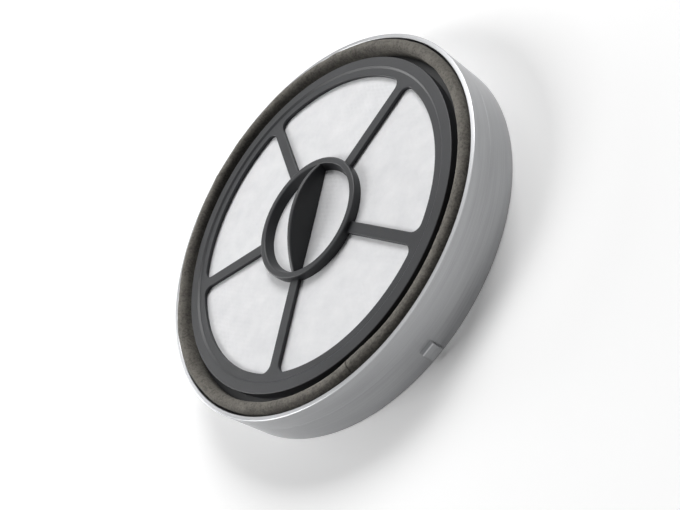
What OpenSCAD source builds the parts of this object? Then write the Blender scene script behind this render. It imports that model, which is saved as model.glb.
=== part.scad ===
// Round filter cartridge for a stick vacuum cleaner, lying on its back rim with its grille up.
// Lengths are in millimetres and angles in degrees. Z runs up along the cartridge's axis from
// the back rim, and the pull fin lies along Y.

/* [Outer ring] */
// Outside diameter of the ring
ring_d = 100; // [86:1:130]
// Height of the ring from its back rim to its front rim
ring_h = 13; // [11:0.5:24]
// Thickness of the ring's wall
ring_wall = 1.15; // [0.8:0.05:2]
// Chamfer on the edges of both rims
rim_chamfer = 0.2; // [0.1:0.05:0.35]
// Width of the lip that turns inwards at the back
lip_w = 3.85; // [2:0.05:6]
// Thickness of the back lip
lip_t = 1.5; // [1:0.1:2.5]

/* [Locating lugs] */
// Number of lugs on the ring's wall
lug_count = 2; // [2:1:4]
// Direction of the first lug
lug_angle = -41; // [-60:1:-20]
// Width of a lug round the ring
lug_w = 3.5; // [2:0.1:6]
// Height of a lug along the axis
lug_h = 3.4; // [2:0.1:6]
// How far a lug stands out of the wall
lug_out = 1.2; // [0.6:0.1:2.5]
// Height of a lug's lower side above the back rim
lug_rise = 1.2; // [0.6:0.1:3]
// Chamfer round a lug's outer face
lug_chamfer = 0.3; // [0.1:0.05:0.5]

/* [Front frame] */
// Depth of the frame's face below the front rim
face_drop = 0.15; // [0.05:0.05:1]
// Width of the channel between the ring's wall and the frame's face
channel_w = 5.15; // [4.5:0.05:8]
// Depth of the channel below the frame's face
channel_depth = 2.85; // [2.2:0.05:4]
// Thickness of the channel's floor
channel_floor_t = 1.2; // [0.8:0.1:2]
// Thickness of the skirt that goes down inside the channel
skirt_wall = 1.2; // [0.8:0.1:2]
// Width of the frame's face from the channel to the windows
flange_w = 5; // [4:0.1:8]
// Width of the raised outer band of the face
band_w = 2.6; // [1.5:0.1:3.4]
// Height of the raised band above the rest of the face
band_h = 0.4; // [0.2:0.05:0.8]
// Width of the slope between the raised band and the rest of the face
band_slope = 0.5; // [0.2:0.05:0.7]
// Radius of the frame's moulded edges
frame_edge = 0.2; // [0.1:0.05:0.35]

/* [Spokes] */
// Number of spokes
spoke_count = 5; // [3:1:8]
// Direction of the first spoke
first_spoke = -90; // [-180:1:180]
// Width of a spoke
spoke_w = 2.9; // [2:0.1:5]
// Height of a spoke above the cloth
spoke_h = 1; // [0.6:0.1:2]
// Radius of the windows' corners at the outer ends of the spokes
corner_r = 2.2; // [1:0.1:4]

/* [Hub ring and pull fin] */
// Outside diameter of the hub ring
hub_d = 31.9; // [26:0.1:40]
// Diameter of the hub ring's opening at its top
hub_bore = 28.4; // [22:0.1:30]
// Height of the hub ring above the cloth
hub_h = 2.25; // [1.6:0.05:4]
// How much the opening's radius narrows towards the cloth
hub_draft = 0.8; // [0.2:0.1:1.2]
// Radius of the hub ring's upper edges
hub_edge = 0.4; // [0.2:0.05:0.6]
// Height of the pull fin's crest above the cloth
fin_h = 6.65; // [5:0.05:10]
// Thickness of the fin at its foot
fin_t = 1.9; // [1.4:0.1:3]
// Thickness of the fin at its free edge
fin_tip_t = 1.3; // [0.9:0.1:1.4]
// Radius of the fin's free edges
fin_edge = 0.35; // [0.1:0.05:0.4]

/* [Foam seal] */
// Width of the foam strip
strip_w = 2.9; // [2:0.1:3.5]
// Height of the foam strip
strip_h = 3.5; // [2.8:0.1:5]
// Radius of the strip's upper edges
strip_edge = 0.9; // [0.4:0.1:0.95]
// Gap between the strip and the ring's wall
strip_gap = 0.5; // [0.3:0.05:0.8]
// Direction of the joint where the strip's ends meet
joint_angle = -57; // [-180:1:180]
// Gap between the strip's two ends
joint_gap = 0.3; // [0.1:0.05:1]

/* [Filter media] */
// Thickness of the front cloth
cloth_t = 0.5; // [0.3:0.05:1]
// Distance from one pleat to the next
pleat_pitch = 4; // [3:0.1:6]
// Thickness of the filter paper
paper_t = 0.45; // [0.3:0.05:0.7]

/* [Rear grille] */
// Thickness of the rear grille
grille_t = 1.4; // [1:0.1:2]
// Thickness of its thinner rings, on the side of the pleats
grille_ring_t = 0.9; // [0.6:0.05:1]
// Width of its outer band
grille_band_w = 7.6; // [6.8:0.1:10]
// Number of its rings between the hub and the outer band
grille_rings = 4; // [2:1:6]
// Number of its ribs
grille_ribs = 10; // [6:1:16]
// Width of its rings and ribs
rib_w = 1.6; // [1:0.1:2.4]
// Diameter of its solid hub
grille_hub_d = 10; // [6:0.5:20]

/* [Fits] */
// Radial gap between the ring's wall and the pieces inside it
wall_fit = 0.1; // [0.05:0.05:0.3]
// Radial gap between the skirt and the cloth or the pleats
media_fit = 0.15; // [0.05:0.05:0.4]
// Radial gap between the pleats and the potting ring
bond_fit = 0.05; // [0.02:0.01:0.1]

/* [Hidden] */
$fn = 128;

// Radii from the outside inwards
ring_r = ring_d / 2;
bore_r = ring_r - ring_wall;
inside_r = bore_r - wall_fit;
lip_r = bore_r - lip_w;
frame_r = bore_r - channel_w;
skirt_r = frame_r - skirt_wall;
window_r = frame_r - flange_w;
media_r = skirt_r - media_fit;
potting_r = media_r + bond_fit;
strip_out_r = bore_r - strip_gap;
strip_in_r = strip_out_r - strip_w;
grille_band_r = inside_r - grille_band_w;
grille_hub_r = grille_hub_d / 2;
hub_r = hub_d / 2;
hub_bore_r = hub_bore / 2;

// Distance between neighbouring legs of the pleats
leg_pitch = pleat_pitch / 2;

// Heights from the front rim down to the back lip
face_z = ring_h - face_drop;
web_z = face_z - band_h;
cloth_z = web_z - spoke_h;
pleat_z = cloth_z - cloth_t;
channel_z = face_z - channel_depth;
frame_z = channel_z - channel_floor_t;
grille_z = lip_t + grille_t;

// The fin is a slice of a disc whose arc meets the hub ring's opening just below its top
fin_end_h = hub_h - 0.1;
fin_rise = fin_h - fin_end_h;
fin_r = (hub_bore_r * hub_bore_r + fin_rise * fin_rise) / (2 * fin_rise);
fin_axis_z = cloth_z + fin_h - fin_r;

// Angle from one spoke to the next
spoke_pitch = 360 / spoke_count;

// How far the spokes and the fin run into the hub ring's wall
root = 0.6;
// How far the rim and the spoke plate run into each other
sink = 0.3;
// How far a cutter passes the surface that it cuts
over = 1;

// Points of an arc of radius r round [x, y], from angle a to angle b. A turn of -1 puts it below.
function arc(x, y, r, a, b, steps = 4, turn = 1) =
    [for (i = [0:steps]) let (t = a + (b - a) * i / steps) [x + r * cos(t), y + turn * r * sin(t)]];

// A list of points without its first and last
function inner_points(points) = [for (i = [1:len(points) - 2]) points[i]];

// Section of the ring: a plain wall with chamfered rims, and a lip at the back
module outer_ring() {
    color("silver") {
        rotate_extrude()
            polygon([
                [lip_r, 0],
                [ring_r - rim_chamfer, 0],
                [ring_r, rim_chamfer],
                [ring_r, ring_h - rim_chamfer],
                [ring_r - rim_chamfer, ring_h],
                [bore_r + rim_chamfer, ring_h],
                [bore_r, ring_h - rim_chamfer],
                [bore_r, lip_t],
                [lip_r, lip_t]
            ]);
        for (i = [0:lug_count - 1])
            rotate([0, 0, lug_angle + i * 360 / lug_count]) lug();
    }
}

// One lug: two crossed prisms give its outer face a chamfer all round
module lug() {
    reach = ring_r + lug_out;
    foot = bore_r + ring_wall / 2;
    translate([0, 0, lug_rise])
        intersection() {
            linear_extrude(lug_h)
                polygon([
                    [foot, -lug_w / 2],
                    [reach - lug_chamfer, -lug_w / 2],
                    [reach, lug_chamfer - lug_w / 2],
                    [reach, lug_w / 2 - lug_chamfer],
                    [reach - lug_chamfer, lug_w / 2],
                    [foot, lug_w / 2]
                ]);
            translate([0, lug_w / 2, 0])
                rotate([90, 0, 0])
                linear_extrude(lug_w)
                polygon([
                    [foot, 0],
                    [reach - lug_chamfer, 0],
                    [reach, lug_chamfer],
                    [reach, lug_h - lug_chamfer],
                    [reach - lug_chamfer, lug_h],
                    [foot, lug_h]
                ]);
        }
}

// The grid at the back: a band on the lip, thin rings, and ribs of full thickness
module rear_grille() {
    pitch = (grille_band_r - grille_hub_r) / (grille_rings + 1);
    color("dimgray") {
        translate([0, 0, lip_t])
            linear_extrude(grille_t) {
                difference() {
                    circle(inside_r);
                    circle(grille_band_r);
                }
                circle(grille_hub_r);
                for (i = [0:grille_ribs - 1])
                    rotate([0, 0, first_spoke + i * 360 / grille_ribs])
                        translate([grille_hub_r - root, -rib_w / 2])
                        square([grille_band_r - grille_hub_r + 2 * root, rib_w]);
            }
        translate([0, 0, grille_z - grille_ring_t])
            linear_extrude(grille_ring_t)
            for (i = [1:grille_rings])
                difference() {
                    circle(grille_hub_r + i * pitch + rib_w / 2);
                    circle(grille_hub_r + i * pitch - rib_w / 2);
                }
    }
}

// The adhesive that holds the ends of the pleats
module potting_ring() {
    color("ivory")
        translate([0, 0, grille_z])
        linear_extrude(frame_z - grille_z)
        difference() {
            circle(inside_r);
            circle(potting_r);
        }
}

// Filter paper folded to and fro, with round folds, and trimmed to a disc
module pleat_pack() {
    color("white")
        intersection() {
            translate([0, media_r + over, grille_z])
                rotate([90, 0, 0])
                linear_extrude(2 * (media_r + over))
                pleated_sheet(pleat_z - grille_z);
            translate([0, 0, grille_z - over])
                cylinder(h = pleat_z - grille_z + 2 * over, r = media_r);
        }
}

// The folded sheet seen from its edge, h high. It runs up, over a fold, down, round the next fold
// and so on. Its two faces are half the paper's thickness to either side of the folds' radius.
module pleated_sheet(h) {
    folds = 2 * floor(media_r / leg_pitch);
    start = -folds * leg_pitch / 2;
    half = paper_t / 2;
    polygon(concat(
        [[start - half, 0]],
        [for (i = [0:folds - 1]) each fold(i, start, h, half, 180)],
        [[-start - half, h], [-start + half, h]],
        [for (i = [folds - 1:-1:0]) each fold(i, start, h, -half, 0)],
        [[start + half, 0]]
    ));
}

// Points of fold i on one face of the sheet. Even folds are at the top and odd ones at the bottom.
function fold(i, start, h, side, from) =
    let (
        x = start + (i + 0.5) * leg_pitch,
        out = (leg_pitch + paper_t) / 2
    )
    i % 2 == 0
        ? arc(x, h - out, leg_pitch / 2 + side, from, 180 - from, 6)
        : arc(x, out, leg_pitch / 2 - side, from, 180 - from, 6, -1);

// The embossed disc that lies on the pleats
module front_cloth() {
    color("whitesmoke")
        translate([0, 0, pleat_z])
        cylinder(h = cloth_t, r = media_r);
}

// One moulding: the rim with its channel, the spokes, the hub ring and the pull fin
module front_frame() {
    color([0.24, 0.25, 0.27]) {
        frame_rim();
        spoke_plate();
        hub_ring();
        pull_fin();
    }
}

// Section of the rim: channel floor, skirt, raised band, and a slope that runs into the plate
module frame_rim() {
    e = frame_edge;
    band_r = frame_r - band_w;
    slope_end = band_r - band_slope * (1 + sink / band_h);
    rotate_extrude()
        polygon(concat(
            [
                [skirt_r, frame_z],
                [inside_r, frame_z],
                [inside_r, channel_z],
                [frame_r, channel_z]
            ],
            arc(frame_r - e, face_z - e, e, 0, 90),
            [
                [band_r, face_z],
                [slope_end, web_z - sink],
                [skirt_r, web_z - sink]
            ]
        ));
}

// The flat part of the face with the spokes: a disc with its windows cut out
module spoke_plate() {
    translate([0, 0, cloth_z])
        linear_extrude(spoke_h)
        difference() {
            circle(skirt_r + sink);
            circle(hub_r - 2 * root);
            for (i = [0:spoke_count - 1])
                rotate(first_spoke + i * spoke_pitch) polygon(window_points());
        }
}

// Outline of the window that follows a spoke along X: fillet, rim, fillet, and the hub's side
function window_points() =
    let (
        centre_r = window_r - corner_r,
        y = spoke_w / 2 + corner_r,
        from = asin(y / centre_r),
        to = spoke_pitch - from,
        foot_r = hub_r - root,
        foot = asin(spoke_w / 2 / foot_r)
    )
    concat(
        arc(centre_r * cos(from), y, corner_r, -90, from, 8),
        inner_points(arc(0, 0, window_r, from, to, 24)),
        arc(centre_r * cos(to), centre_r * sin(to), corner_r, to, spoke_pitch + 90, 8),
        arc(0, 0, foot_r, spoke_pitch - foot, foot, 6)
    );

// The raised ring in the middle, with a drafted opening and round upper edges
module hub_ring() {
    e = hub_edge;
    translate([0, 0, cloth_z])
        rotate_extrude()
        polygon(concat(
            [[hub_bore_r - hub_draft, 0], [hub_r, 0]],
            arc(hub_r - e, hub_h - e, e, 0, 90),
            arc(hub_bore_r + e, hub_h - e, e, 90, 180)
        ));
}

// The curved blade across the hub ring, thinner towards its free edge
module pull_fin() {
    e = fin_edge;
    foot_r = fin_r - fin_h - over;
    half_span = hub_bore_r + root;
    intersection() {
        translate([0, 0, fin_axis_z])
            rotate([0, 90, 0])
            rotate_extrude()
            polygon(concat(
                [[foot_r, fin_t / 2], [foot_r, -fin_t / 2]],
                arc(fin_r - e, e - fin_tip_t / 2, e, -90, 0),
                arc(fin_r - e, fin_tip_t / 2 - e, e, 0, 90)
            ));
        translate([-fin_t, -half_span, cloth_z])
            cube([2 * fin_t, 2 * half_span, fin_h + over]);
    }
}

// The foam strip in the channel, bent into a ring with its ends almost touching
module seal_strip() {
    e = strip_edge;
    gap_angle = joint_gap / (strip_out_r - strip_w / 2) * 180 / PI;
    color([0.44, 0.42, 0.38])
        translate([0, 0, channel_z])
        rotate([0, 0, joint_angle + gap_angle / 2])
        rotate_extrude(angle = 360 - gap_angle)
        polygon(concat(
            [[strip_in_r, 0], [strip_out_r, 0]],
            arc(strip_out_r - e, strip_h - e, e, 0, 90),
            arc(strip_in_r + e, strip_h - e, e, 90, 180)
        ));
}

outer_ring();
rear_grille();
potting_ring();
pleat_pack();
front_cloth();
front_frame();
seal_strip();
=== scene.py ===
"""A round filter cartridge for a stick vacuum cleaner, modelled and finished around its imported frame.

Lengths are millimetres times MM, because the frame is in metres. Heights run up the cartridge's
axis from its back rim, angles are degrees from X towards Y, and the pull fin lies along Y.
"""

import logging
import math
from contextlib import contextmanager
from dataclasses import dataclass, field
from enum import Enum
from typing import Any, Callable, ClassVar, Iterator, Sequence

import bmesh
import bpy
from mathutils import Matrix, Vector, noise


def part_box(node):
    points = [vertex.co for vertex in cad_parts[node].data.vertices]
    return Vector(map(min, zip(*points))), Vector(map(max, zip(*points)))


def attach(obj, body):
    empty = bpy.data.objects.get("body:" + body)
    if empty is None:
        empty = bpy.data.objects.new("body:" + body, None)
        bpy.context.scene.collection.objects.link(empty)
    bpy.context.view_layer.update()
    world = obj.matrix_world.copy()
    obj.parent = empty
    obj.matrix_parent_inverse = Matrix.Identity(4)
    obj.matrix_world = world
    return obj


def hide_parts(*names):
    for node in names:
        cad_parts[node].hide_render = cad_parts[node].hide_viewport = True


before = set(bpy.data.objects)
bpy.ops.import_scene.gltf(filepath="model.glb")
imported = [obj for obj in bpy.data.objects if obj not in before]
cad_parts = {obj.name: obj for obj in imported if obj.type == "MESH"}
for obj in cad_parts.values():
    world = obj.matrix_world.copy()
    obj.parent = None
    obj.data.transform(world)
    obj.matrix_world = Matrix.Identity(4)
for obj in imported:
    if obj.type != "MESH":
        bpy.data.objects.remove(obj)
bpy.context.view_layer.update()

LOG = logging.getLogger("filter_cartridge")
MM = 0.001
BODY = "root"

# Vertices closer than this are one vertex
WELD = 0.0005 * MM
# Edges sharper than this stay sharp in the shading
CREASE = math.radians(32)

Point = tuple[float, float]
Colour = tuple[float, float, float]


class Join(Enum):
    """How one solid is combined with another."""

    UNION = "UNION"
    CUT = "DIFFERENCE"
    COMMON = "INTERSECT"


@dataclass(frozen=True)
class Place:
    """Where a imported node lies: its radius about the axis and its two heights."""

    radius: float
    bottom: float
    top: float

    @classmethod
    def of(cls, node: str) -> "Place":
        """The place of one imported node.

        Args:
            node: The node's name.

        Returns:
            Its radius, its lowest height and its highest.
        """
        low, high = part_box(node)
        return cls(max(high.x, -low.x, high.y, -low.y), low.z, high.z)


def polar(radius: float, angle: float) -> Point:
    """A point at a radius and an angle in degrees."""
    return radius * math.cos(math.radians(angle)), radius * math.sin(math.radians(angle))


def arc(centre: Point, radius: float, start: float, end: float, steps: int) -> list[Point]:
    """Points along an arc.

    Args:
        centre: The arc's centre.
        radius: Its radius.
        start: The first angle in degrees.
        end: The last angle in degrees.
        steps: How many stretches the arc has.

    Returns:
        One point more than the steps.
    """
    angles = [start + (end - start) * i / steps for i in range(steps + 1)]
    return [(centre[0] + x, centre[1] + y) for x, y in (polar(radius, a) for a in angles)]


def circle(radius: float, steps: int) -> list[Point]:
    """The points of a whole circle, each of them once."""
    return arc((0, 0), radius, 0, 360, steps)[:-1]


def angle_between(first: float, second: float) -> float:
    """The turn from one angle to another, from -180 to 180 degrees."""
    return (second - first + 180) % 360 - 180


def select_only(*pieces: bpy.types.Object) -> None:
    """Selects these objects and nothing else, and makes the first one active."""
    bpy.ops.object.select_all(action="DESELECT")
    for piece in pieces:
        piece.select_set(True)
    bpy.context.view_layer.objects.active = pieces[0]


@contextmanager
def editing(piece: bpy.types.Object, kind: str = "VERT") -> Iterator[None]:
    """Opens a piece in edit mode with nothing selected.

    Args:
        piece: The object to open.
        kind: VERT, EDGE or FACE, whichever is selected.
    """
    select_only(piece)
    bpy.ops.object.mode_set(mode="EDIT")
    bpy.ops.mesh.select_mode(type=kind)
    bpy.ops.mesh.select_all(action="DESELECT")
    try:
        yield
    finally:
        bpy.ops.object.mode_set(mode="OBJECT")


def select_vertices(piece: bpy.types.Object, test: Callable[[Vector], bool]) -> None:
    """Selects the vertices of the open mesh whose place passes a test.

    Args:
        piece: The object in edit mode.
        test: Tells whether a vertex at a place is selected.
    """
    mesh = bmesh.from_edit_mesh(piece.data)
    for vertex in mesh.verts:
        vertex.select_set(test(vertex.co))
    mesh.select_flush_mode()
    bmesh.update_edit_mesh(piece.data)


def tidy_mesh(piece: bpy.types.Object) -> None:
    """Merges doubled vertices and turns every face outwards."""
    with editing(piece):
        bpy.ops.mesh.select_all(action="SELECT")
        bpy.ops.mesh.remove_doubles(threshold=WELD)
        bpy.ops.mesh.normals_make_consistent(inside=False)


def apply_modifier(piece: bpy.types.Object, kind: str, **settings: Any) -> None:
    """Adds a modifier to a piece and applies it.

    Args:
        piece: The object to change.
        kind: Blender's name for the modifier.
        settings: The modifier's own settings.
    """
    select_only(piece)
    modifier = piece.modifiers.new(kind.lower(), kind)
    for name, value in settings.items():
        setattr(modifier, name, value)
    bpy.ops.object.modifier_apply(modifier=modifier.name)


def combine(piece: bpy.types.Object, tool: bpy.types.Object, join: Join) -> None:
    """Combines a piece with a tool, and uses the tool up.

    Args:
        piece: The object that stays.
        tool: The object that is added, cut away or kept in common.
        join: Which of these it is.
    """
    apply_modifier(piece, "BOOLEAN", object=tool, operation=join.value, solver="EXACT")
    bpy.data.objects.remove(tool)


def shade(piece: bpy.types.Object) -> None:
    """Smooths the shading over soft edges and keeps the large flats flat."""
    select_only(piece)
    bpy.ops.object.shade_smooth_by_angle(angle=CREASE)
    apply_modifier(piece, "WEIGHTED_NORMAL", keep_sharp=True)


def draw_outline(name: str, points: Sequence[Vector], closed: bool = True) -> bpy.types.Object:
    """Draws a line by extruding one vertex from point to point.

    Args:
        name: The new object's name.
        points: The line's points in order.
        closed: Whether an edge joins the last point to the first.

    Returns:
        An object that holds edges only, with its place in its mesh.
    """
    bpy.ops.object.select_all(action="DESELECT")
    bpy.ops.mesh.primitive_plane_add(size=MM, location=points[0])
    piece = bpy.context.object
    piece.name = name
    with editing(piece):
        bpy.ops.mesh.select_all(action="SELECT")
        bpy.ops.mesh.merge(type="CENTER")
        for here, there in zip(points, points[1:]):
            bpy.ops.mesh.extrude_vertices_move(TRANSFORM_OT_translate={"value": there - here})
        if closed:
            mesh = bmesh.from_edit_mesh(piece.data)
            for vertex in mesh.verts:
                vertex.select_set(len(vertex.link_edges) == 1)
            mesh.select_flush_mode()
            bpy.ops.mesh.edge_face_add()
    bpy.ops.object.transform_apply(location=True, rotation=True, scale=True)
    return piece


def revolve(name: str, section: Sequence[Point], steps: int) -> bpy.types.Object:
    """Spins a closed section once round the cartridge's axis.

    Args:
        name: The new object's name.
        section: Radius and height of each point of the section.
        steps: How many stretches the circle has.

    Returns:
        A closed ring.
    """
    piece = draw_outline(name, [Vector((r, 0, z)) for r, z in section])
    with editing(piece):
        bpy.ops.mesh.select_all(action="SELECT")
        bpy.ops.mesh.spin(steps=steps, angle=math.tau, center=(0, 0, 0), axis=(0, 0, 1))
    tidy_mesh(piece)
    return piece


def flat_plate(
    name: str, outlines: Sequence[Sequence[Point]], bottom: float, thickness: float, edge: float
) -> bpy.types.Object:
    """Makes a plate with openings, every edge of which is rounded.

    Args:
        name: The new object's name.
        outlines: The outer outline first, then one for each opening.
        bottom: The height of its underside.
        thickness: Its thickness.
        edge: The radius of its rounded edges.

    Returns:
        A closed plate.
    """
    wires = [draw_outline(name, [Vector((x, y, 0)) for x, y in line]) for line in outlines]
    select_only(*wires)
    bpy.ops.object.join()
    bpy.ops.object.convert(target="CURVE")
    plate = bpy.context.object
    plate.data.dimensions = "2D"
    plate.data.fill_mode = "BOTH"
    plate.data.extrude = thickness / 2 - edge
    plate.data.bevel_depth = edge
    plate.data.bevel_resolution = 2
    plate.data.offset = -edge
    bpy.ops.object.convert(target="MESH")
    plate = bpy.context.object
    with editing(plate):
        bpy.ops.mesh.select_all(action="SELECT")
        bpy.ops.transform.translate(value=(0, 0, bottom + thickness / 2))
    tidy_mesh(plate)
    plate.name = name
    return plate


def move_vertices(piece: bpy.types.Object, place: Callable[[Vector], Vector]) -> None:
    """Moves every vertex of a piece to the place that a rule gives it."""
    for vertex in piece.data.vertices:
        vertex.co = place(vertex.co.copy())
    piece.data.update()


def grain(point: Vector, size: float, seed: float = 0.0) -> float:
    """Smooth noise from about -1 to 1.

    Args:
        point: Where it is read.
        size: The width of its lumps.
        seed: A shift that gives another pattern.

    Returns:
        The noise there.
    """
    return noise.noise(point / size + Vector((seed, seed, seed)))


class Graph:
    """The node tree of one material, with a short call for each node that the finishes share."""

    def __init__(self, name: str) -> None:
        """Starts a material with a plain Principled shader.

        Args:
            name: The new material's name.
        """
        self.material = bpy.data.materials.new(name)
        self.material.use_nodes = True
        self.nodes = self.material.node_tree.nodes
        self.shader = self.nodes["Principled BSDF"]
        self.position = self.nodes.new("ShaderNodeTexCoord").outputs["Object"]

    def feed(self, socket: bpy.types.NodeSocket, value: Any) -> None:
        """Links a socket to an output, or sets its value."""
        if isinstance(value, bpy.types.NodeSocket):
            self.material.node_tree.links.new(value, socket)
        else:
            socket.default_value = value

    def add(self, kind: str, inputs: dict[Any, Any], **settings: Any) -> bpy.types.Node:
        """Adds a node.

        Args:
            kind: The node's type, without its prefix.
            inputs: What each input is linked or set to, by name or number.
            settings: The node's own settings.

        Returns:
            The new node.
        """
        node = self.nodes.new("ShaderNode" + kind)
        for name, value in settings.items():
            setattr(node, name, value)
        for key, value in inputs.items():
            self.feed(node.inputs[key], value)
        return node

    def math(self, operation: str, first: Any, second: Any = 0.0) -> bpy.types.NodeSocket:
        """One sum on two numbers."""
        return self.add("Math", {0: first, 1: second}, operation=operation).outputs[0]

    def stretch(self, vector: Any, factors: Sequence[float]) -> bpy.types.NodeSocket:
        """A vector with each part multiplied."""
        inputs = {0: vector, 1: factors}
        return self.add("VectorMath", inputs, operation="MULTIPLY").outputs[0]

    def noise(
        self, vector: Any, scale: float, detail: float = 2.0, roughness: float = 0.5
    ) -> bpy.types.NodeSocket:
        """Noise from 0 to 1 with a given scale, detail and roughness."""
        inputs = {"Vector": vector, "Scale": scale, "Detail": detail, "Roughness": roughness}
        return self.add("TexNoise", inputs).outputs["Fac"]

    def ranged(self, value: Any, low: float, high: float, to_low: float, to_high: float) -> Any:
        """A number carried from one range to another, and held inside it."""
        inputs = {0: value, 1: low, 2: high, 3: to_low, 4: to_high}
        return self.add("MapRange", inputs, clamp=True).outputs[0]

    def mix(self, factor: Any, first: Any, second: Any) -> bpy.types.NodeSocket:
        """A colour between two others."""
        node = self.add("Mix", {0: factor}, data_type="RGBA")
        for socket, value in ((node.inputs[6], first), (node.inputs[7], second)):
            self.feed(socket, (*value, 1.0) if isinstance(value, tuple) else value)
        return node.outputs[2]

    def bump(self, height: Any, distance: float, under: Any = None) -> bpy.types.NodeSocket:
        """A normal raised by a height.

        Args:
            height: The height from 0 to 1.
            distance: The real height of 1, in metres.
            under: A normal that this bump lies on, if there is one.

        Returns:
            The new normal.
        """
        node = self.add("Bump", {"Height": height, "Distance": distance, "Strength": 1.0})
        if under is not None:
            self.feed(node.inputs["Normal"], under)
        return node.outputs[0]

    def split(self) -> tuple[Any, Any, Any, Any]:
        """The position's X, Y and Z, and its distance from the cartridge's axis."""
        node = self.add("SeparateXYZ", {0: self.position})
        flat = self.stretch(self.position, (1, 1, 0))
        radius = self.add("VectorMath", {0: flat}, operation="LENGTH").outputs["Value"]
        return (*node.outputs, radius)

    def finish(self, **inputs: Any) -> bpy.types.Material:
        """Feeds the shader's inputs, each named with underscores for spaces."""
        for name, value in inputs.items():
            value = (*value, 1.0) if isinstance(value, tuple) and len(value) == 3 else value
            self.feed(self.shader.inputs[name.replace("_", " ")], value)
        return self.material


@dataclass(frozen=True)
class BrushedMetal:
    """Aluminium brushed round the ring, in fine strokes over broader bands."""

    name: str = "brushed_aluminium"
    bright: Colour = (0.41, 0.414, 0.422)
    dull: Colour = (0.32, 0.324, 0.332)
    roughness: float = 0.33
    line: float = 0.16 * MM
    stroke: float = 30 * MM

    def material(self) -> bpy.types.Material:
        """The material, on Object coordinates."""
        g = Graph(self.name)
        x, y, z, radius = g.split()
        across = g.math("ADD", z, radius)
        strokes = g.add("CombineXYZ", {0: x, 1: y, 2: g.math("MULTIPLY", across, self.stroke / self.line)})
        fine = g.noise(strokes.outputs[0], 1 / self.stroke, 4.0, 0.7)
        wide = g.add("CombineXYZ", {0: x, 1: y, 2: g.math("MULTIPLY", across, 9.0)})
        bands = g.noise(wide.outputs[0], 1 / self.stroke, 2.0, 0.5)
        cast = g.noise(g.position, 160.0, 2.0, 0.5)
        tone = g.math("ADD", g.math("MULTIPLY", fine, 0.6), g.math("MULTIPLY", bands, 0.4))
        tone = g.ranged(tone, 0.35, 0.65, 0.0, 1.0)
        rough = g.math("ADD", g.math("MULTIPLY", fine, 0.12), g.math("MULTIPLY", cast, 0.06))
        rough = g.math("ADD", rough, self.roughness - 0.09)
        normal = g.bump(fine, 0.006 * MM)
        tangent = g.add("Tangent", {}, direction_type="RADIAL", axis="Z").outputs[0]
        return g.finish(
            Base_Color=g.mix(tone, self.dull, self.bright),
            Metallic=1.0,
            Roughness=rough,
            Anisotropic=0.75,
            Anisotropic_Rotation=0.25,
            Tangent=tangent,
            Normal=normal,
        )


@dataclass(frozen=True)
class MouldedPlastic:
    """Dark satin plastic with the faint grain of its mould."""

    name: str = "moulded_plastic"
    colour: Colour = (0.021, 0.022, 0.024)
    worn: Colour = (0.028, 0.029, 0.032)
    roughness: float = 0.42
    grain: float = 0.35 * MM

    def material(self) -> bpy.types.Material:
        """The material, on Object coordinates."""
        g = Graph(self.name)
        clouds = g.noise(g.position, 90.0, 3.0, 0.6)
        grain = g.noise(g.position, 1 / self.grain, 3.0, 0.6)
        rough = g.math("ADD", g.math("MULTIPLY", clouds, 0.12), self.roughness - 0.06)
        return g.finish(
            Base_Color=g.mix(g.ranged(clouds, 0.35, 0.65, 0.0, 1.0), self.colour, self.worn),
            Roughness=rough,
            Specular_IOR_Level=0.3,
            Normal=g.bump(grain, 0.008 * MM),
        )


@dataclass(frozen=True)
class Foam:
    """Open-cell foam, granular and mottled, paler where dust lies on it."""

    name: str = "seal_foam"
    deep: Colour = (0.054, 0.052, 0.046)
    body: Colour = (0.162, 0.15, 0.13)
    dust: Colour = (0.29, 0.272, 0.242)
    cell: float = 0.28 * MM

    def material(self) -> bpy.types.Material:
        """The material, on Object coordinates."""
        g = Graph(self.name)
        cells = g.add("TexVoronoi", {"Vector": g.position, "Scale": 1 / self.cell}).outputs["Distance"]
        speckle = g.noise(g.position, 1 / (2.2 * self.cell), 4.0, 0.75)
        mottle = g.noise(g.position, 220.0, 3.0, 0.6)
        base = g.mix(g.ranged(speckle, 0.32, 0.6, 0.0, 1.0), self.deep, self.body)
        dusty = g.math("MULTIPLY", g.ranged(mottle, 0.45, 0.75, 0.0, 0.5), g.ranged(cells, 0.2, 0.6, 0.3, 1.0))
        normal = g.bump(speckle, 0.12 * MM, g.bump(cells, 0.08 * MM))
        return g.finish(Base_Color=g.mix(dusty, base, self.dust), Roughness=0.95, Normal=normal)


@dataclass(frozen=True)
class EmbossedCloth:
    """White non-woven cloth: fibres over the embossed lattice that the mesh carries."""

    name: str = "embossed_cloth"
    light: Colour = (0.86, 0.86, 0.87)
    shade: Colour = (0.76, 0.765, 0.78)
    fibre: float = 0.12 * MM

    def material(self) -> bpy.types.Material:
        """The material, on Object coordinates."""
        g = Graph(self.name)
        fibres = g.noise(g.position, 1 / self.fibre, 3.0, 0.7)
        clouds = g.noise(g.position, 180.0, 3.0, 0.6)
        tone = g.math("ADD", g.math("MULTIPLY", fibres, 0.4), g.math("MULTIPLY", clouds, 0.6))
        return g.finish(
            Base_Color=g.mix(g.ranged(tone, 0.35, 0.65, 0.0, 1.0), self.shade, self.light),
            Roughness=0.9,
            Normal=g.bump(fibres, 0.05 * MM),
        )


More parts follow.
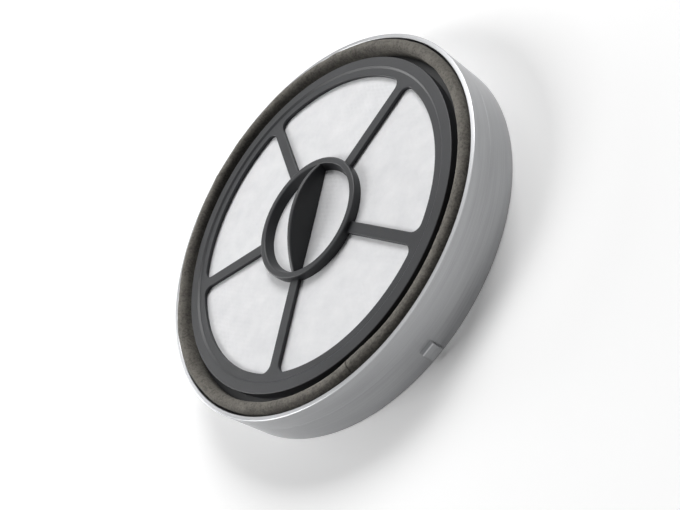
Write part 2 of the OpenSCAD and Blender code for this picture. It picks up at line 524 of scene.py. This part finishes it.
@dataclass(frozen=True)
class FilterPaper:
    """Cream-white filter paper with short fibres."""

    name: str = "filter_paper"
    light: Colour = (0.82, 0.81, 0.78)
    shade: Colour = (0.7, 0.69, 0.65)

    def material(self) -> bpy.types.Material:
        """The material, on Object coordinates."""
        g = Graph(self.name)
        fibres = g.noise(g.stretch(g.position, (1, 0.35, 1)), 1 / (0.3 * MM), 4.0, 0.7)
        clouds = g.noise(g.position, 120.0, 2.0, 0.5)
        tone = g.math("ADD", g.math("MULTIPLY", fibres, 0.5), g.math("MULTIPLY", clouds, 0.5))
        return g.finish(
            Base_Color=g.mix(g.ranged(tone, 0.38, 0.62, 0.0, 1.0), self.shade, self.light),
            Roughness=0.92,
            Normal=g.bump(fibres, 0.04 * MM),
        )


@dataclass(frozen=True)
class Adhesive:
    """Ivory potting adhesive that set with a slight gloss."""

    name: str = "potting_adhesive"
    light: Colour = (0.72, 0.68, 0.56)
    shade: Colour = (0.62, 0.57, 0.44)

    def material(self) -> bpy.types.Material:
        """The material, on Object coordinates."""
        g = Graph(self.name)
        clouds = g.noise(g.position, 200.0, 3.0, 0.6)
        return g.finish(
            Base_Color=g.mix(g.ranged(clouds, 0.35, 0.65, 0.0, 1.0), self.shade, self.light),
            Roughness=0.4,
            Normal=g.bump(clouds, 0.1 * MM),
        )


@dataclass
class SubAssembly:
    """One piece of the cartridge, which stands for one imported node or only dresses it."""

    node: ClassVar[str] = ""
    steps: int = 256
    place: Place = field(init=False)

    def __post_init__(self) -> None:
        """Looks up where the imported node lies."""
        self.place = Place.of(self.node)

    def build(self) -> bpy.types.Object:
        """Models the piece."""
        raise NotImplementedError

    def dress(self, piece: bpy.types.Object) -> None:
        """Gives the piece its finish."""
        raise NotImplementedError

    def declare(self, piece: bpy.types.Object) -> None:
        """Does nothing."""

    def install(self) -> None:
        """Builds the piece, dresses it and seats it on the frame."""
        piece = self.build()
        piece.name = "dressed_" + self.node
        piece.data.name = piece.name
        self.dress(piece)
        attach(piece, BODY)
        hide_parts(self.node)
        self.declare(piece)
        LOG.info("%s: %d faces", piece.name, len(piece.data.polygons))


def coat(piece: bpy.types.Object, material: bpy.types.Material) -> None:
    """Makes a material the only one on a piece."""
    piece.data.materials.clear()
    piece.data.materials.append(material)


@dataclass
class OuterRing(SubAssembly):
    """The brushed ring: a plain wall with rounded rims, a back lip and two square lugs."""

    node: ClassVar[str] = "outer_ring"
    wall: float = 1.15 * MM
    rim_edge: float = 0.22 * MM
    lip_width: float = 3.85 * MM
    lip_thickness: float = 1.5 * MM
    parting_height: float = 7.7 * MM
    parting_depth: float = 0.03 * MM
    lug_angles: tuple[float, ...] = (-41.0, 139.0)
    lug_width: float = 3.5 * MM
    lug_height: float = 3.4 * MM
    lug_bottom: float = 1.2 * MM
    lug_reach: float = 1.2 * MM
    lug_edge: float = 0.3 * MM
    finish: BrushedMetal = field(default_factory=BrushedMetal)

    def section(self) -> list[Point]:
        """The wall's section, from the lip outwards and up to the front rim."""
        r, h, e = self.place.radius, self.place.top, self.rim_edge
        bore = r - self.wall
        lip = bore - self.lip_width
        z, d = self.parting_height, self.parting_depth
        return [
            *arc((lip + e, e), e, 180, 270, 3),
            *arc((r - e, e), e, 270, 360, 4),
            (r, z - d),
            (r - d, z),
            (r, z + d),
            *arc((r - e, h - e), e, 0, 90, 4),
            *arc((bore + e, h - e), e, 90, 180, 4),
            (bore, self.lip_thickness),
            (lip, self.lip_thickness),
        ]

    def lug(self, angle: float) -> bpy.types.Object:
        """One lug, bevelled and sunk into the wall.

        Args:
            angle: Its direction in degrees.

        Returns:
            A closed block.
        """
        sunk = self.wall / 2
        middle = self.place.radius + (self.lug_reach - sunk) / 2
        bpy.ops.object.select_all(action="DESELECT")
        bpy.ops.mesh.primitive_cube_add(size=1)
        piece = bpy.context.object
        piece.scale = (self.lug_reach + sunk, self.lug_width, self.lug_height)
        piece.rotation_euler.z = math.radians(angle)
        piece.location = (*polar(middle, angle), self.lug_bottom + self.lug_height / 2)
        bpy.ops.object.transform_apply(location=True, rotation=True, scale=True)
        apply_modifier(piece, "BEVEL", width=self.lug_edge, segments=3, limit_method="ANGLE")
        return piece

    def build(self) -> bpy.types.Object:
        """Spins the wall and fuses the lugs to it."""
        ring = revolve(self.node, self.section(), self.steps)
        for angle in self.lug_angles:
            combine(ring, self.lug(angle), Join.UNION)
        tidy_mesh(ring)
        shade(ring)
        return ring

    def dress(self, piece: bpy.types.Object) -> None:
        """Gives the ring its brushed finish."""
        coat(piece, self.finish.material())


@dataclass(frozen=True)
class Swell:
    """One soft change of the foam's shape, centred on an angle."""

    angle: float
    spread: float
    out: float
    up: float

    def share(self, angle: float) -> float:
        """How much of it is felt at an angle, from 0 to 1."""
        return math.exp(-((angle_between(self.angle, angle) / self.spread) ** 2))


@dataclass
class SealStrip(SubAssembly):
    """The foam strip in the channel: swollen here and pinched there, with its ends butted."""

    node: ClassVar[str] = "seal_strip"
    steps: int = 720
    width: float = 2.9 * MM
    edge: float = 1.25 * MM
    rise: float = 0.3 * MM
    joint_angle: float = -57.0
    joint_gap: float = 0.25 * MM
    swells: tuple[Swell, ...] = (
        Swell(140.0, 70.0, 0.30 * MM, 0.35 * MM),
        Swell(-53.0, 7.0, -0.55 * MM, 0.0),
        Swell(-8.0, 16.0, 0.15 * MM, 0.1 * MM),
        Swell(-140.0, 20.0, 0.15 * MM, 0.1 * MM),
    )
    finish: Foam = field(default_factory=Foam)

    def section(self) -> list[Point]:
        """The strip's section, with a round top."""
        out, low = self.place.radius, self.place.bottom
        top, e = self.place.top, self.edge
        inner = out - self.width
        foot = 6
        side = [low + (top - e - low) * i / foot for i in range(foot)]
        return [
            *[(inner + self.width * i / foot, low) for i in range(foot)],
            *[(out, z) for z in side],
            *arc((out - e, top - e), e, 0, 90, 8),
            *arc((inner + e, top - e), e, 90, 180, 8),
            *[(inner, z) for z in reversed(side[1:])],
        ]

    def shaped(self, point: Vector) -> Vector:
        """Where a point of the even strip goes.

        Args:
            point: A place on the even strip.

        Returns:
            Its place on the real one.
        """
        radius, angle = math.hypot(point.x, point.y), math.degrees(math.atan2(point.y, point.x))
        low, high = self.place.bottom, self.place.top
        lift = max(0.0, (point.z - low) / (high - low))
        out = sum(s.out * s.share(angle) for s in self.swells)
        up = self.rise + sum(s.up * s.share(angle) for s in self.swells)
        lump = grain(point, 5 * MM) * 0.16 * MM + grain(point, 1.6 * MM, 7.0) * 0.07 * MM
        pore = grain(point, 0.55 * MM, 3.0) * 0.05 * MM
        middle = self.place.radius - self.width / 2
        side = (radius - middle) / (self.width / 2)
        radius += lift * (out + lump + pore * side)
        height = point.z + lift * (up + 0.6 * lump + pore)
        return Vector((*polar(radius, angle), height))

    def build(self) -> bpy.types.Object:
        """Spins the section nearly once round, closes its ends and shapes it."""
        gap = math.degrees(self.joint_gap / self.place.radius)
        start = math.radians(self.joint_angle + gap / 2)
        turn = Matrix.Rotation(start, 3, "Z")
        strip = draw_outline(self.node, [turn @ Vector((r, 0, z)) for r, z in self.section()])
        with editing(strip, "EDGE"):
            bpy.ops.mesh.select_all(action="SELECT")
            bpy.ops.mesh.spin(
                steps=self.steps, angle=math.radians(gap - 360), center=(0, 0, 0), axis=(0, 0, 1)
            )
            bpy.ops.mesh.select_all(action="SELECT")
            bpy.ops.mesh.region_to_loop()
            bpy.ops.mesh.edge_face_add()
        tidy_mesh(strip)
        move_vertices(strip, self.shaped)
        shade(strip)
        return strip

    def dress(self, piece: bpy.types.Object) -> None:
        """Gives the strip its foam."""
        coat(piece, self.finish.material())

    def declare(self, piece: bpy.types.Object) -> None:
        """Does nothing; the strip is foam padding, full through."""


@dataclass
class FrontFrame(SubAssembly):
    """One dark moulding: a stepped rim with its channel, spokes, a hub ring and a pull fin."""

    node: ClassVar[str] = "front_frame"
    face_top: float = 12.85 * MM
    face_radius: float = 43.7 * MM
    skirt: float = 1.2 * MM
    channel_depth: float = 2.85 * MM
    band_width: float = 2.6 * MM
    band_height: float = 0.4 * MM
    band_slope: float = 0.5 * MM
    edge: float = 0.22 * MM
    window_radius: float = 38.7 * MM
    spoke_count: int = 5
    first_spoke: float = -90.0
    spoke_width: float = 2.9 * MM
    spoke_height: float = 1.0 * MM
    corner: float = 2.2 * MM
    hub_radius: float = 15.95 * MM
    hub_bore: float = 14.2 * MM
    hub_height: float = 2.25 * MM
    hub_draft: float = 0.8 * MM
    hub_edge: float = 0.42 * MM
    fin_foot: float = 1.9 * MM
    fin_tip: float = 1.3 * MM
    fin_edge: float = 0.38 * MM
    fin_end_drop: float = 0.1 * MM
    root: float = 0.6 * MM
    sink: float = 0.3 * MM
    lift: float = 0.02 * MM
    finish: MouldedPlastic = field(default_factory=MouldedPlastic)

    @property
    def web_top(self) -> float:
        """Height of the flat part of the face and of the spokes."""
        return self.face_top - self.band_height

    @property
    def cloth_top(self) -> float:
        """Height of the cloth, on which the spokes lie."""
        return self.web_top - self.spoke_height

    def rim(self) -> bpy.types.Object:
        """The rim: channel floor, skirt, raised band and slope."""
        e, r, top = self.edge, self.face_radius, self.face_top
        wall, low = self.place.radius, self.place.bottom
        skirt = r - self.skirt
        floor = top - self.channel_depth
        band = r - self.band_width
        run = band - self.band_slope * (1 + self.sink / self.band_height)
        buried = self.web_top - self.sink
        slope = math.degrees(math.atan2(self.band_height, self.band_slope))
        section = [
            (skirt, low),
            (wall, low),
            (wall, floor),
            (r, floor),
            *arc((r - e, top - e), e, 0, 90, 4),
            *arc((band + e / 2, top - e), e, 90, 90 + slope, 3),
            (run, buried),
            (skirt, buried),
        ]
        return revolve("rim", section, self.steps)

    def window(self, spoke: float) -> list[Point]:
        """The outline of the window that follows a spoke.

        Args:
            spoke: The spoke's direction in degrees.

        Returns:
            Points along a fillet, the rim, a fillet and the hub's side.
        """
        pitch = 360 / self.spoke_count
        centre = self.window_radius - self.corner
        start = math.degrees(math.asin((self.spoke_width / 2 + self.corner) / centre))
        end = pitch - start
        foot_radius = self.hub_radius - self.root
        foot = math.degrees(math.asin(self.spoke_width / 2 / foot_radius))
        low, high = polar(centre, spoke + start), polar(centre, spoke + end)
        return [
            *arc(low, self.corner, spoke - 90, spoke + start, 10),
            *arc((0, 0), self.window_radius, spoke + start, spoke + end, 40)[1:-1],
            *arc(high, self.corner, spoke + end, spoke + pitch + 90, 10),
            *arc((0, 0), foot_radius, spoke + pitch - foot, spoke + foot, 10),
        ]

    def spokes(self) -> bpy.types.Object:
        """The windowed plate that leaves the spokes."""
        pitch = 360 / self.spoke_count
        windows = [self.window(self.first_spoke + i * pitch) for i in range(self.spoke_count)]
        rim_line = circle(self.face_radius - self.skirt + self.sink, self.steps)
        hub_line = circle(self.hub_radius - 2 * self.root, self.steps // 2)
        outlines = [rim_line, hub_line, *windows]
        return flat_plate("spokes", outlines, self.cloth_top, self.spoke_height, self.edge)

    def hub(self) -> bpy.types.Object:
        """The raised ring with its drafted opening and round upper edges."""
        e, low, high = self.hub_edge, self.cloth_top, self.cloth_top + self.hub_height
        section = [
            (self.hub_bore - self.hub_draft, low),
            (self.hub_radius, low),
            *arc((self.hub_radius - e, high - e), e, 0, 90, 5),
            *arc((self.hub_bore + e, high - e), e, 90, 180, 5),
        ]
        return revolve("hub", section, self.steps // 2)

    def fin(self) -> bpy.types.Object:
        """The curved blade: its section is swung about an axis below the cloth, then trimmed."""
        e, tip, foot = self.fin_edge, self.fin_tip / 2, self.fin_foot / 2
        crest = self.place.top
        end_height = self.cloth_top + self.hub_height - self.fin_end_drop
        rise = crest - end_height
        radius = (self.hub_bore**2 + rise**2) / (2 * rise)
        axis = crest - radius
        low = self.cloth_top - axis - MM
        section = [
            (-foot, low),
            (foot, low),
            *arc((tip - e, radius - e), e, 0, 90, 4),
            *arc((e - tip, radius - e), e, 90, 180, 4),
        ]
        reach = math.asin((self.hub_bore + self.root) / radius)
        turn = Matrix.Rotation(-reach, 3, "X")
        points = [turn @ Vector((x, 0, z)) + Vector((0, 0, axis)) for x, z in section]
        fin = draw_outline("fin", points)
        with editing(fin, "EDGE"):
            bpy.ops.mesh.select_all(action="SELECT")
            bpy.ops.mesh.spin(steps=48, angle=-2 * reach, center=(0, 0, axis), axis=(1, 0, 0))
            bpy.ops.mesh.select_all(action="SELECT")
            bpy.ops.mesh.region_to_loop()
            bpy.ops.mesh.edge_face_add()
        tidy_mesh(fin)
        with editing(fin):
            bpy.ops.mesh.select_all(action="SELECT")
            bpy.ops.mesh.bisect(
                plane_co=(0, 0, self.cloth_top + self.lift),
                plane_no=(0, 0, 1),
                use_fill=True,
                clear_inner=True,
            )
        tidy_mesh(fin)
        return fin

    def build(self) -> bpy.types.Object:
        """Fuses the rim, the spokes, the hub ring and the fin into one moulding."""
        moulding = self.rim()
        for part in (self.spokes(), self.hub(), self.fin()):
            combine(moulding, part, Join.UNION)
        tidy_mesh(moulding)
        shade(moulding)
        return moulding

    def dress(self, piece: bpy.types.Object) -> None:
        """Gives the moulding its satin plastic."""
        coat(piece, self.finish.material())


@dataclass(frozen=True)
class Ridges:
    """One family of parallel embossed lines."""

    direction: float
    pitch: float
    depth: float

    def height(self, point: Vector) -> float:
        """The height of the lines at a point, up to their depth."""
        turn = math.radians(self.direction)
        across = Vector((-math.sin(turn), math.cos(turn), 0))
        return self.depth * (0.5 + 0.5 * math.cos(math.tau * point.dot(across) / self.pitch))


@dataclass
class FrontCloth(SubAssembly):
    """The white non-woven disc, embossed with a slanted lattice."""

    node: ClassVar[str] = "front_cloth"
    cells: int = 290
    lattice: tuple[Ridges, ...] = (Ridges(-62.0, 1.25 * MM, 0.05 * MM), Ridges(-12.0, 1.1 * MM, 0.04 * MM))
    finish: EmbossedCloth = field(default_factory=EmbossedCloth)

    def relief(self, point: Vector) -> float:
        """Depth of the embossing at a point."""
        wander = Vector((grain(point, 6 * MM), grain(point, 6 * MM, 5.0), 0)) * 0.25 * MM
        pressed = sum(line.height(point + wander) for line in self.lattice)
        fibres = grain(point, 0.7 * MM, 2.0) * 0.012 * MM
        return -pressed * (0.75 + 0.25 * grain(point, 2 * MM, 9.0)) + fibres

    def build(self) -> bpy.types.Object:
        """Trims a fine grid to a disc, thickens it and presses the lattice into its face."""
        place = self.place
        bpy.ops.object.select_all(action="DESELECT")
        bpy.ops.mesh.primitive_grid_add(
            x_subdivisions=self.cells,
            y_subdivisions=self.cells,
            size=2 * place.radius,
            location=(0, 0, place.top),
        )
        cloth = bpy.context.object
        bpy.ops.object.transform_apply(location=True, rotation=True, scale=True)
        cell = 2 * place.radius / self.cells
        with editing(cloth):
            select_vertices(cloth, lambda co: co.xy.length > place.radius - cell / 2)
            bpy.ops.mesh.delete(type="VERT")
            bpy.ops.mesh.select_all(action="SELECT")
            bpy.ops.mesh.region_to_loop()
            mesh = bmesh.from_edit_mesh(cloth.data)
            for vertex in mesh.verts:
                if vertex.select:
                    vertex.co.xy = vertex.co.xy.normalized() * place.radius
            bmesh.update_edit_mesh(cloth.data)
            bpy.ops.mesh.extrude_region_move(
                TRANSFORM_OT_translate={"value": (0, 0, place.bottom - place.top)}
            )
            bpy.ops.mesh.edge_face_add()
        tidy_mesh(cloth)
        edge = place.radius - cell / 4
        for vertex in cloth.data.vertices:
            if vertex.co.z > place.top - cell / 4 and vertex.co.xy.length < edge:
                vertex.co.z += self.relief(vertex.co.copy())
        shade(cloth)
        return cloth

    def dress(self, piece: bpy.types.Object) -> None:
        """Gives the cloth its fibres."""
        coat(piece, self.finish.material())

    def declare(self, piece: bpy.types.Object) -> None:
        """Does nothing; the cloth is a round sheet, stretched over the pleats."""


@dataclass
class PleatPack(SubAssembly):
    """Filter paper folded to and fro, a little unevenly, and trimmed to a disc."""

    node: ClassVar[str] = "pleat_pack"
    pitch: float = 4.0 * MM
    paper: float = 0.45 * MM
    rows: int = 24
    finish: FilterPaper = field(default_factory=FilterPaper)

    def fold_line(self) -> list[Point]:
        """The paper's middle line seen from its edge, with a round fold at each turn."""
        place, leg = self.place, self.pitch / 2
        folds = 2 * int(place.radius / leg)
        start = -folds * leg / 2
        turn = leg / 2
        out = turn + self.paper / 2
        line = [(start, place.bottom)]
        for i in range(folds):
            x = start + (i + 0.5) * leg
            if i % 2 == 0:
                line += arc((x, place.top - out), turn, 180, 0, 8)
            else:
                line += arc((x, place.bottom + out), turn, 180, 360, 8)
        return [*line, (-start, place.top)]

    def build(self) -> bpy.types.Object:
        """Extrudes the folded line in rows, thickens it and trims it."""
        place = self.place
        reach = place.radius + MM
        step = Vector((0, 2 * reach / self.rows, 0))
        pleats = draw_outline("pleats", [Vector((x, -reach, z)) for x, z in self.fold_line()], closed=False)
        with editing(pleats, "EDGE"):
            bpy.ops.mesh.select_all(action="SELECT")
            for _ in range(self.rows):
                bpy.ops.mesh.extrude_edges_move(TRANSFORM_OT_translate={"value": step})
        move_vertices(pleats, self.uneven)
        apply_modifier(pleats, "SOLIDIFY", thickness=self.paper, offset=0.0)
        tidy_mesh(pleats)
        bpy.ops.object.select_all(action="DESELECT")
        bpy.ops.mesh.primitive_cylinder_add(
            vertices=self.steps, radius=place.radius, depth=place.top - place.bottom,
            location=(0, 0, (place.top + place.bottom) / 2),
        )
        trim = bpy.context.object
        bpy.ops.object.transform_apply(location=True, rotation=True, scale=True)
        combine(pleats, trim, Join.COMMON)
        tidy_mesh(pleats)
        shade(pleats)
        return pleats

    def uneven(self, point: Vector) -> Vector:
        """Where a point of the even folds goes: each leg bows a little to one side."""
        middle = (self.place.bottom + self.place.top) / 2
        share = 1 - abs(point.z - middle) / (self.place.top - middle)
        along = Vector((point.x * 1.7, point.y * 0.35, 0))
        return point + Vector((0.35 * MM * share * grain(along, 3 * MM), 0, 0))

    def dress(self, piece: bpy.types.Object) -> None:
        """Gives the pleats their paper."""
        coat(piece, self.finish.material())


@dataclass
class RearGrille(SubAssembly):
    """The moulded grid at the back: a band, ribs and a hub, with thinner rings towards the pleats."""

    node: ClassVar[str] = "rear_grille"
    band_radius: float = 41.15 * MM
    hub_radius: float = 5.0 * MM
    rib_count: int = 10
    ring_count: int = 4
    rib_width: float = 1.6 * MM
    ring_thickness: float = 0.9 * MM
    corner: float = 0.5 * MM
    edge: float = 0.2 * MM
    finish: MouldedPlastic = field(default_factory=lambda: MouldedPlastic(name="moulded_plastic_back"))

    def opening(self, rib: float) -> list[Point]:
        """The outline of the opening that follows a rib, with filleted outer corners.

        Args:
            rib: The rib's angle in degrees.

        Returns:
            The outline's points, in order.
        """
        pitch = 360 / self.rib_count
        half = self.rib_width / 2
        centre = self.band_radius - self.corner
        start = math.degrees(math.asin((half + self.corner) / centre))
        foot = math.degrees(math.asin(half / self.hub_radius))
        low, high = polar(centre, rib + start), polar(centre, rib + pitch - start)
        return [
            *arc(low, self.corner, rib - 90, rib + start, 5),
            *arc((0, 0), self.band_radius, rib + start, rib + pitch - start, 20)[1:-1],
            *arc(high, self.corner, rib + pitch - start, rib + pitch + 90, 5),
            *arc((0, 0), self.hub_radius, rib + pitch - foot, rib + foot, 6),
        ]

    def ring(self, radius: float) -> bpy.types.Object:
        """One thin ring with rounded lower edges, flush with the plate on its upper side.

        Args:
            radius: The ring's middle radius.

        Returns:
            The closed ring.
        """
        e, half = self.edge, self.rib_width / 2
        top = self.place.top - 0.02 * MM
        low = top - self.ring_thickness
        section = [
            (radius - half, top),
            *arc((radius - half + e, low + e), e, 180, 270, 3),
            *arc((radius + half - e, low + e), e, 270, 360, 3),
            (radius + half, top),
        ]
        return revolve("ring", section, self.steps // 2)

    def build(self) -> bpy.types.Object:
        """Makes the ribbed plate and fuses the rings to it."""
        place = self.place
        pitch = 360 / self.rib_count
        openings = [self.opening(-90 + i * pitch) for i in range(self.rib_count)]
        outlines = [circle(place.radius, self.steps), *openings]
        grille = flat_plate("grille", outlines, place.bottom, place.top - place.bottom, self.edge)
        gap = (self.band_radius - self.hub_radius) / (self.ring_count + 1)
        for i in range(1, self.ring_count + 1):
            combine(grille, self.ring(self.hub_radius + i * gap), Join.UNION)
        tidy_mesh(grille)
        shade(grille)
        return grille

    def dress(self, piece: bpy.types.Object) -> None:
        """Gives the grille its satin plastic."""
        coat(piece, self.finish.material())


@dataclass
class PottingRing(SubAssembly):
    """The adhesive ring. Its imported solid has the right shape, so it only gets a finish."""

    node: ClassVar[str] = "potting_ring"
    finish: Adhesive = field(default_factory=Adhesive)

    def install(self) -> None:
        """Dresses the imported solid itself."""
        coat(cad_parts[self.node], self.finish.material())
        LOG.info("%s: packed solid, new finish", self.node)


@dataclass(frozen=True)
class Lamp:
    """A soft box that looks at the cartridge."""

    name: str
    azimuth: float
    elevation: float
    power: float
    distance: float = 1.5
    size: float = 0.68

    def place(self) -> None:
        """Adds the lamp to the scene."""
        light = bpy.data.lights.new(self.name, "AREA")
        light.shape = "SQUARE"
        light.size, light.energy = self.size, self.power
        lamp = bpy.data.objects.new(self.name, light)
        bpy.context.scene.collection.objects.link(lamp)
        level = self.distance * math.cos(math.radians(self.elevation))
        height = self.distance * math.sin(math.radians(self.elevation))
        lamp.location = (*polar(level, self.azimuth), height)
        lamp.rotation_mode = "QUATERNION"
        lamp.rotation_quaternion = (-lamp.location).to_track_quat("-Z", "Y")


@dataclass(frozen=True)
class Studio:
    """A pale floor, a pale surround and soft boxes at a plain level."""

    floor_size: float = 6.0
    ambient: float = 0.06
    floor_tone: float = 0.6
    shown_tone: float = 0.98
    shown_glow: float = 0.12
    fade_start: float = 0.25
    fade_end: float = 0.6
    lamps: tuple[Lamp, ...] = (
        Lamp("right_key", 90.0, 40.0, 14.4),
        Lamp("left_key", 210.0, 40.0, 10.5),
        Lamp("left_low", 180.0, 12.0, 8.1),
        Lamp("back_fill", 120.0, 40.0, 3.4),
        Lamp("top_fill", 150.0, 64.0, 1.3),
    )

    def world(self) -> None:
        """Lights the scene evenly, and shows white to the eye and in reflections."""
        world = bpy.data.worlds.new("surround")
        bpy.context.scene.world = world
        world.use_nodes = True
        nodes, links = world.node_tree.nodes, world.node_tree.links
        path = nodes.new("ShaderNodeLightPath").outputs
        lift = nodes.new("ShaderNodeMapRange")
        lift.inputs[3].default_value = self.ambient
        lift.inputs[4].default_value = 1.0
        seen = path["Is Camera Ray"]
        for ray in ("Is Glossy Ray", "Is Transmission Ray"):
            either = nodes.new("ShaderNodeMath")
            either.operation = "MAXIMUM"
            links.new(seen, either.inputs[0])
            links.new(path[ray], either.inputs[1])
            seen = either.outputs[0]
        links.new(seen, lift.inputs[0])
        links.new(lift.outputs[0], nodes["Background"].inputs["Strength"])
        nodes["Background"].inputs["Color"].default_value = (1, 1, 1, 1)

    def floor(self) -> None:
        """Lays the floor, which shows brighter than it lights the part and fades to white far out."""
        bpy.ops.object.select_all(action="DESELECT")
        bpy.ops.mesh.primitive_plane_add(size=self.floor_size)
        floor = bpy.context.object
        floor.name = "floor"
        g = Graph("floor_paper")
        path = g.add("LightPath", {}).outputs
        seen = g.math("MAXIMUM", path["Is Camera Ray"], path["Is Glossy Ray"])
        seen = g.math("MAXIMUM", seen, path["Is Transmission Ray"])
        distance = g.split()[3]
        far = g.ranged(distance, self.fade_start, self.fade_end, 0.0, 1.0)
        tone = g.mix(seen, (self.floor_tone,) * 3, g.mix(far, (self.shown_tone,) * 3, (0.0,) * 3))
        rise = g.ranged(distance, self.fade_start, self.fade_end, self.shown_glow, 1.0)
        glow = g.math("MULTIPLY", seen, rise)
        coat(floor, g.finish(Base_Color=tone, Roughness=0.9, Specular_IOR_Level=0.0,
                             Emission_Color=(1.0, 1.0, 1.0), Emission_Strength=glow))

    def build(self) -> None:
        """Sets up the world, the floor and the lamps."""
        self.world()
        self.floor()
        for lamp in self.lamps:
            lamp.place()
        scene = bpy.context.scene
        scene.view_settings.view_transform = "Standard"


@dataclass(frozen=True)
class Portrait:
    """The camera, at the angle and distance of the photograph, which holds the cartridge tilted."""

    location: tuple[float, float, float] = (177.34 * MM, -98.62 * MM, 146.18 * MM)
    right: tuple[float, float, float] = (0.68314, 0.20314, -0.70139)
    up: tuple[float, float, float] = (0.14778, 0.90220, 0.40515)
    backward: tuple[float, float, float] = (0.71510, -0.38042, 0.58630)
    lens: float = 54.21
    sensor: float = 36.0

    def build(self) -> None:
        """Adds the camera and makes it the scene's own."""
        data = bpy.data.cameras.new("portrait")
        data.lens, data.sensor_width = self.lens, self.sensor
        data.clip_start, data.clip_end = MM, 100.0
        camera = bpy.data.objects.new("portrait", data)
        bpy.context.scene.collection.objects.link(camera)
        turn = Matrix((self.right, self.up, self.backward)).transposed()
        camera.matrix_world = Matrix.Translation(self.location) @ turn.to_4x4()
        bpy.context.scene.camera = camera


def main() -> None:
    """Builds the studio, then the cartridge from its ring inwards."""
    logging.basicConfig(level=logging.INFO, format="%(message)s")
    Portrait().build()
    Studio().build()
    back = (OuterRing(), RearGrille(), PottingRing(), PleatPack())
    front = (FrontCloth(), FrontFrame(), SealStrip())
    for part in back + front:
        part.install()


if __name__ == "__main__":
    main()
